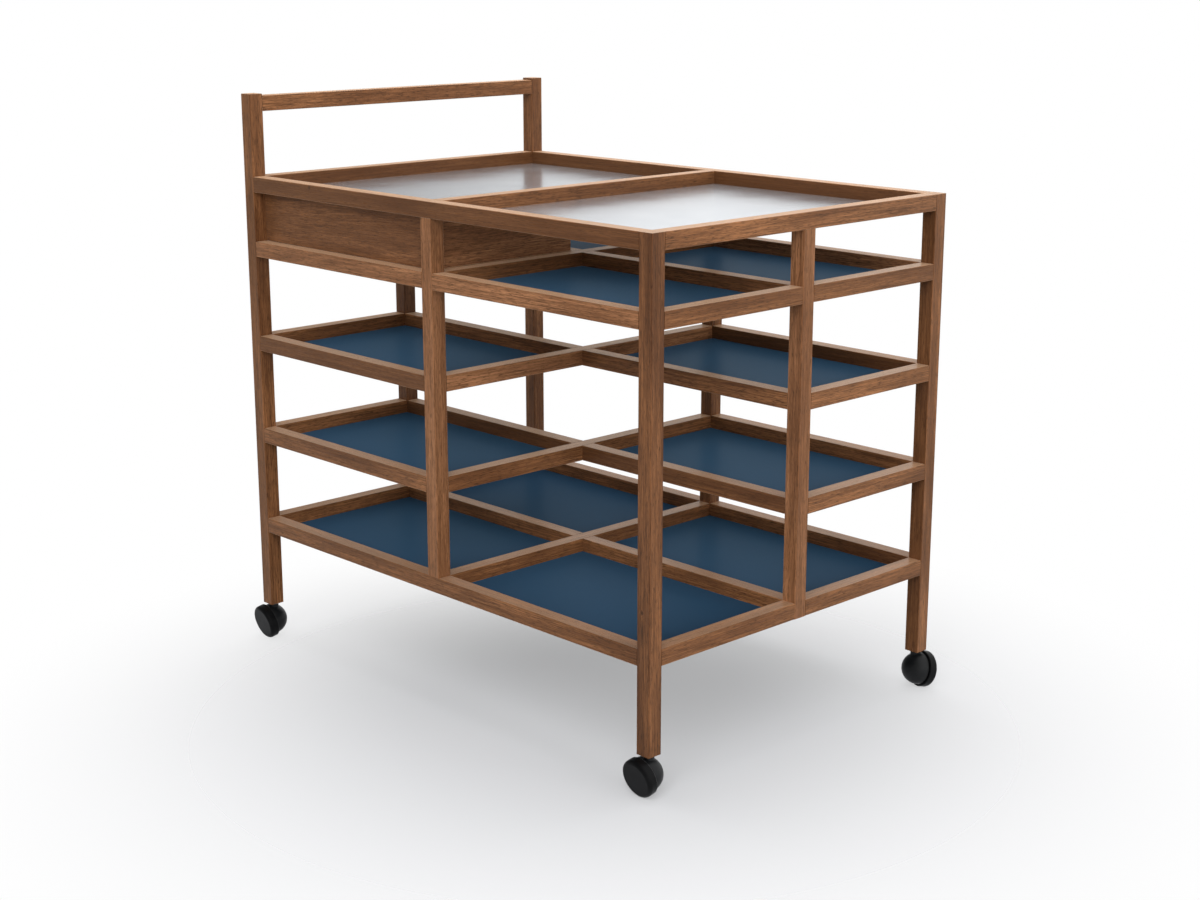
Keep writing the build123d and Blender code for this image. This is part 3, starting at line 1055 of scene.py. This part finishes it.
@dataclass
class Screws:
    """Small steel screws that hold the panels in their rebates, the runners and the stop block."""

    spacing_mm: float = 130.0
    end_inset_mm: float = 30.0
    stop_inset_mm: float = 15.0
    lip_mm: float = 2.8
    head_radius_mm: float = 2.5
    crown_radius_mm: float = 1.9
    head_height_mm: float = 0.8
    head_sides: int = 16
    socket_radius_mm: float = 1.1
    socket_depth_mm: float = 0.6
    socket_sides: int = 6
    seed: int = 11
    finish: TurnedMetal = TurnedMetal("zinc_plated_screw_steel", ring_mm=0.4)

    def build(self) -> None:
        """Drives the screws, one mesh for each body."""
        tree = self.head_tree()
        values = {**self.sizes(), "Seed": self.seed}
        rows = {"frame": self.frame_lines(), "drawer": self.drawer_lines()}
        for body, lines in rows.items():
            piece = self.lay_lines(f"{body}_screws", lines)
            modifier = piece.modifiers.new("screws", "NODES")
            modifier.node_group = tree
            for item in tree.interface.items_tree:
                if item.name in values:
                    modifier[item.identifier] = values[item.name]
            seen = piece.evaluated_get(bpy.context.evaluated_depsgraph_get())
            solid = bpy.data.meshes.new_from_object(seen)
            piece.modifiers.clear()
            piece.data = solid
            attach(piece, body)
            log.info("drove %s, %d faces", piece.name, len(solid.polygons))

    def sizes(self) -> dict[str, float]:
        """Names the sizes that the tree takes.

        Returns:
            Each size in metres, by the name of its input.
        """
        return {
            "Spacing": self.spacing_mm * MM,
            "Head Radius": self.head_radius_mm * MM,
            "Crown Radius": self.crown_radius_mm * MM,
            "Head Height": self.head_height_mm * MM,
            "Socket Radius": self.socket_radius_mm * MM,
            "Socket Depth": self.socket_depth_mm * MM,
        }

    def lay_lines(self, name: str, lines: list[Line]) -> bpy.types.Object:
        """Makes the lines that the screws follow, with their facing at each end.

        Args:
            name: The new object's name.
            lines: Start, end and facing of each line.

        Returns:
            The object that holds the lines.
        """
        mesh = bpy.data.meshes.new(name)
        points = [place for start, end, _ in lines for place in (start, end)]
        mesh.from_pydata(points, [(spot, spot + 1) for spot in range(0, len(points), 2)], [])
        facing = mesh.attributes.new("facing", "FLOAT_VECTOR", "POINT")
        facing.data.foreach_set("vector", [part for _, _, way in lines for part in way * 2])
        piece = bpy.data.objects.new(name, mesh)
        bpy.context.scene.collection.objects.link(piece)
        return piece

    def head_tree(self) -> bpy.types.NodeTree:
        """Makes the tree that sets heads along lines, each with a socket for a key.

        Returns:
            A tree whose input is lines with a facing at each end.
        """
        tree = bpy.data.node_groups.new("screws_along_lines", "GeometryNodeTree")
        add_socket = tree.interface.new_socket
        add_socket("Lines", in_out="INPUT", socket_type="NodeSocketGeometry")
        for size in self.sizes():
            add_socket(size, in_out="INPUT", socket_type="NodeSocketFloat")
        add_socket("Seed", in_out="INPUT", socket_type="NodeSocketInt")
        add_socket("Screws", in_out="OUTPUT", socket_type="NodeSocketGeometry")
        node = partial(add_node, tree)
        given = node("NodeGroupInput").outputs
        head = node(
            "GeometryNodeMeshCone",
            {
                "Vertices": self.head_sides,
                "Radius Top": given["Crown Radius"],
                "Radius Bottom": given["Head Radius"],
                "Depth": given["Head Height"],
            },
        )
        # The key's prism is twice the socket's depth and centred on the crown, so half of it cuts.
        depth = node("ShaderNodeMath", {0: given["Socket Depth"], 1: 2.0}, operation="MULTIPLY")
        key = node(
            "GeometryNodeMeshCylinder",
            {"Vertices": self.socket_sides, "Radius": given["Socket Radius"], "Depth": depth},
        )
        lift = node("ShaderNodeCombineXYZ", {"Z": given["Head Height"]})
        raised = node(
            "GeometryNodeTransform", {"Geometry": key.outputs["Mesh"], "Translation": lift}
        )
        cut = node(
            "GeometryNodeMeshBoolean",
            {"Mesh 1": head.outputs["Mesh"], "Mesh 2": raised},
            operation="DIFFERENCE",
            solver="EXACT",
        )
        path = node("GeometryNodeMeshToCurve", {"Mesh": given["Lines"]})
        spots = node(
            "GeometryNodeResampleCurve", {"Curve": path, "Length": given["Spacing"]}, mode="LENGTH"
        )
        facing = node(
            "GeometryNodeInputNamedAttribute", {"Name": "facing"}, data_type="FLOAT_VECTOR"
        )
        outward = node(
            "FunctionNodeAlignRotationToVector",
            {"Vector": facing.outputs["Attribute"]},
            axis="Z",
        )
        angle = node(
            "FunctionNodeRandomValue", {"Max": math.tau, "Seed": given["Seed"]}, data_type="FLOAT"
        )
        spin = node("FunctionNodeAxisAngleToRotation", {"Axis": (0, 0, 1), "Angle": angle})
        turned = node(
            "FunctionNodeRotateRotation",
            {"Rotation": outward, "Rotate By": spin},
            rotation_space="LOCAL",
        )
        placed = node(
            "GeometryNodeInstanceOnPoints",
            {"Points": spots, "Instance": cut.outputs["Mesh"], "Rotation": turned},
        )
        real = node("GeometryNodeRealizeInstances", {"Geometry": placed})
        dressed = node(
            "GeometryNodeSetMaterial", {"Geometry": real, "Material": self.finish.material()}
        )
        node("NodeGroupOutput", {"Screws": dressed})
        return tree

    def frame_lines(self) -> list[Line]:
        """Works out the lines of screws under the panels' lips and on the runners.

        Returns:
            Start, end and facing of each line.
        """
        near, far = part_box("front_left_post")[1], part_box("back_right_post")[0]
        cross_low, cross_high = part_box("bottom_cross_rail")
        long_low, long_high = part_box("bottom_long_rail")
        left, right = (near.x, cross_low.x), (cross_high.x, far.x)
        front, back = (near.y, long_low.y), (long_high.y, far.y)
        opposite = [(left, front), (right, back)]
        bays = {
            "top_left_panel": [(left, front), (left, back)],
            "top_right_panel": [(right, front), (right, back)],
            "upper_panels": [(right, front), (left, back), (right, back)],
            "middle_panels": opposite,
            "lower_panels": opposite,
            "bottom_panels": [(left, front), (right, front), (left, back), (right, back)],
        }
        inset, lip = self.end_inset_mm * MM, self.lip_mm * MM
        lines = []
        for node, openings in bays.items():
            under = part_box(node)[0].z
            for (x_low, x_high), (y_low, y_high) in openings:
                for x in (x_low - lip, x_high + lip):
                    lines.append(((x, y_low + inset, under), (x, y_high - inset, under), DOWN))
                for y in (y_low - lip, y_high + lip):
                    # A tray panel covers two bays, with no rail under its middle.
                    if not node.startswith("top") or abs(y) > far.y:
                        lines.append(((x_low + inset, y, under), (x_high - inset, y, under), DOWN))
        for side, way in (("left", 1.0), ("right", -1.0)):
            low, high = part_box(f"{side}_drawer_runner")
            x, z = (high.x if way > 0 else low.x), (low.z + high.z) / 2
            lines.append(((x, low.y + inset, z), (x, high.y - inset, z), (way, 0.0, 0.0)))
        return lines

    def drawer_lines(self) -> list[Line]:
        """Works out the line of screws under the drawer's stop block.

        Returns:
            Start, end and facing of the line.
        """
        low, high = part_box("drawer_stop")
        middle = (low.y + high.y) / 2
        inset = self.stop_inset_mm * MM
        return [((low.x + inset, middle, low.z), (high.x - inset, middle, low.z), DOWN)]


@dataclass
class Casters:
    """Ball casters, their stems and the inserts in the posts."""

    corners: tuple[str, ...] = ("front_left", "front_right", "back_left", "back_right")
    hood_finish: MouldedNylon = MouldedNylon("moulded_black_nylon")
    wheel_finish: MouldedNylon = MouldedNylon(
        "moulded_black_tread", "#060607", "#0a0a0b", specular=0.15
    )
    stem_finish: TurnedMetal = TurnedMetal("zinc_plated_steel")
    insert_finish: TurnedMetal = TurnedMetal("turned_brass", colour="#c9a553", tarnish="#8d6f2e")

    def dress(self) -> None:
        """Gives each moulded and turned piece its finish."""
        dress((f"{corner}_caster_hood" for corner in self.corners), self.hood_finish)
        dress((f"{corner}_caster_wheel" for corner in self.corners), self.wheel_finish)
        dress((f"{corner}_caster_axle" for corner in self.corners), self.stem_finish)
        dress(("caster_stems",), self.stem_finish)
        dress(("caster_inserts",), self.insert_finish)


@dataclass(frozen=True)
class SoftBox:
    """A round soft light: its place, its width and its power in watts."""

    name: str
    place: Point
    width: float
    power: float


@dataclass
class Studio:
    """Floor, soft lights, white surroundings and the camera."""

    camera_place: Point = (1.9825, -1.8669, 1.0182)
    camera_azimuth: float = 46.196
    camera_elevation: float = 14.32
    lens_mm: float = 58.137
    sensor_mm: float = 36.0
    floor_radius: float = 4.0
    floor_sides: int = 64
    # Soft boxes hang over the cart, by the camera and to the right, and point at its middle.
    soft_boxes: tuple[SoftBox, ...] = (
        SoftBox("key_soft_box", (-0.3, 0.4, 3.4), 2.4, 58.0),
        SoftBox("front_soft_box", (1.8, -2.3, 2.5), 2.2, 60.0),
        SoftBox("side_soft_box", (3.0, 0.1, 0.9), 1.6, 23.0),
    )
    aim: Point = (0.0, 0.0, 0.4)
    # The studio's walls are brighter than its ceiling, so that light reaches in under the tray.
    wall_light: float = 1.4
    ceiling_light: float = 0.1
    # The left of the studio is a grey flat, which the tray and the fronts mirror.
    flat_grey: float = 0.2
    flat_edges: Span = (-0.14, 0.06)
    flat_turn: float = 48.0

    def build(self) -> None:
        """Sets up the whole studio."""
        self.lay_floor()
        self.hang_lights()
        self.wrap_surroundings()
        self.set_camera()
        bpy.context.scene.view_settings.view_transform = "Standard"

    def lay_floor(self) -> None:
        """Lays a round floor under the cart."""
        turns = [math.tau * step / self.floor_sides for step in range(self.floor_sides)]
        rim = [
            (self.floor_radius * math.cos(turn), self.floor_radius * math.sin(turn), 0.0)
            for turn in turns
        ]
        mesh = bpy.data.meshes.new("floor")
        mesh.from_pydata(rim, [], [tuple(range(len(rim)))])
        floor = bpy.data.objects.new("floor", mesh)
        bpy.context.scene.collection.objects.link(floor)
        mesh.materials.append(StudioFloor("matt_white_floor").material())
        log.info("laid the floor")

    def hang_lights(self) -> None:
        """Hangs the soft boxes."""
        for box in self.soft_boxes:
            lamp = bpy.data.lights.new(box.name, "AREA")
            lamp.shape = "DISK"
            lamp.size = box.width
            lamp.energy = box.power
            light = bpy.data.objects.new(box.name, lamp)
            light.location = box.place
            toward = Vector(self.aim) - Vector(box.place)
            light.rotation_euler = toward.to_track_quat("-Z", "Y").to_euler()
            # The tray mirrors the white surroundings and not the lamps, which would clip in it.
            light.visible_glossy = False
            bpy.context.scene.collection.objects.link(light)
            log.info("hung %s", box.name)

    def wrap_surroundings(self) -> None:
        """Makes the surroundings white to the eye and to reflections, and a soft fill otherwise."""
        world = bpy.data.worlds.new("white_studio")
        bpy.context.scene.world = world
        world.use_nodes = True
        tree = world.node_tree
        tree.nodes.clear()
        node = partial(add_node, tree)
        path = node("ShaderNodeLightPath")
        seen = node(
            "ShaderNodeMath",
            {0: path.outputs["Is Camera Ray"], 1: path.outputs["Is Glossy Ray"]},
            operation="MAXIMUM",
        )
        clear = node(
            "ShaderNodeMath",
            {0: seen, 1: path.outputs["Is Transmission Ray"]},
            operation="MAXIMUM",
        )
        # A ray that has left a matt face carries light to it, so it never meets the white.
        direct = node(
            "ShaderNodeMath", {0: path.outputs["Diffuse Depth"], 1: 0.5}, operation="LESS_THAN"
        )
        shown = node("ShaderNodeMath", {0: clear, 1: direct}, operation="MULTIPLY")
        way = node("ShaderNodeTexCoord").outputs["Generated"]
        rise = node("ShaderNodeSeparateXYZ", {"Vector": way})
        glow = node(
            "ShaderNodeMapRange",
            {
                "Value": rise.outputs["Z"],
                "To Min": self.wall_light,
                "To Max": self.ceiling_light,
            },
        )
        turn = math.radians(self.flat_turn)
        rightward = node(
            "ShaderNodeVectorMath",
            {0: way, 1: (math.cos(turn), math.sin(turn), 0.0)},
            operation="DOT_PRODUCT",
        )
        flat = node(
            "ShaderNodeMapRange",
            {
                "Value": rightward.outputs["Value"],
                "From Min": self.flat_edges[0],
                "From Max": self.flat_edges[1],
                "To Min": self.flat_grey,
            },
        )
        level = node(
            "ShaderNodeMath", {0: flat, 1: path.outputs["Is Camera Ray"]}, operation="MAXIMUM"
        )
        fill = node("ShaderNodeBackground", {"Color": WHITE, "Strength": glow})
        white = node("ShaderNodeBackground", {"Color": WHITE, "Strength": level})
        both = node("ShaderNodeMixShader", {0: shown, 1: fill, 2: white})
        node("ShaderNodeOutputWorld", {"Surface": both})

    def set_camera(self) -> None:
        """Stands the camera where the photograph was taken from."""
        data = bpy.data.cameras.new("camera")
        data.lens = self.lens_mm
        data.sensor_width = self.sensor_mm
        camera = bpy.data.objects.new("camera", data)
        camera.location = self.camera_place
        camera.rotation_euler = (
            math.radians(90 - self.camera_elevation),
            0.0,
            math.radians(self.camera_azimuth),
        )
        bpy.context.scene.collection.objects.link(camera)
        bpy.context.scene.camera = camera


def main() -> None:
    """Builds and dresses the cart in order, and sets it in the studio."""
    logging.basicConfig(level=logging.INFO, format="%(name)s: %(message)s")
    for assembly in (WalnutFrame(), Shelves(), Drawer(), Casters()):
        assembly.dress()
    Screws().build()
    Studio().build()


if __name__ == "__main__":
    main()
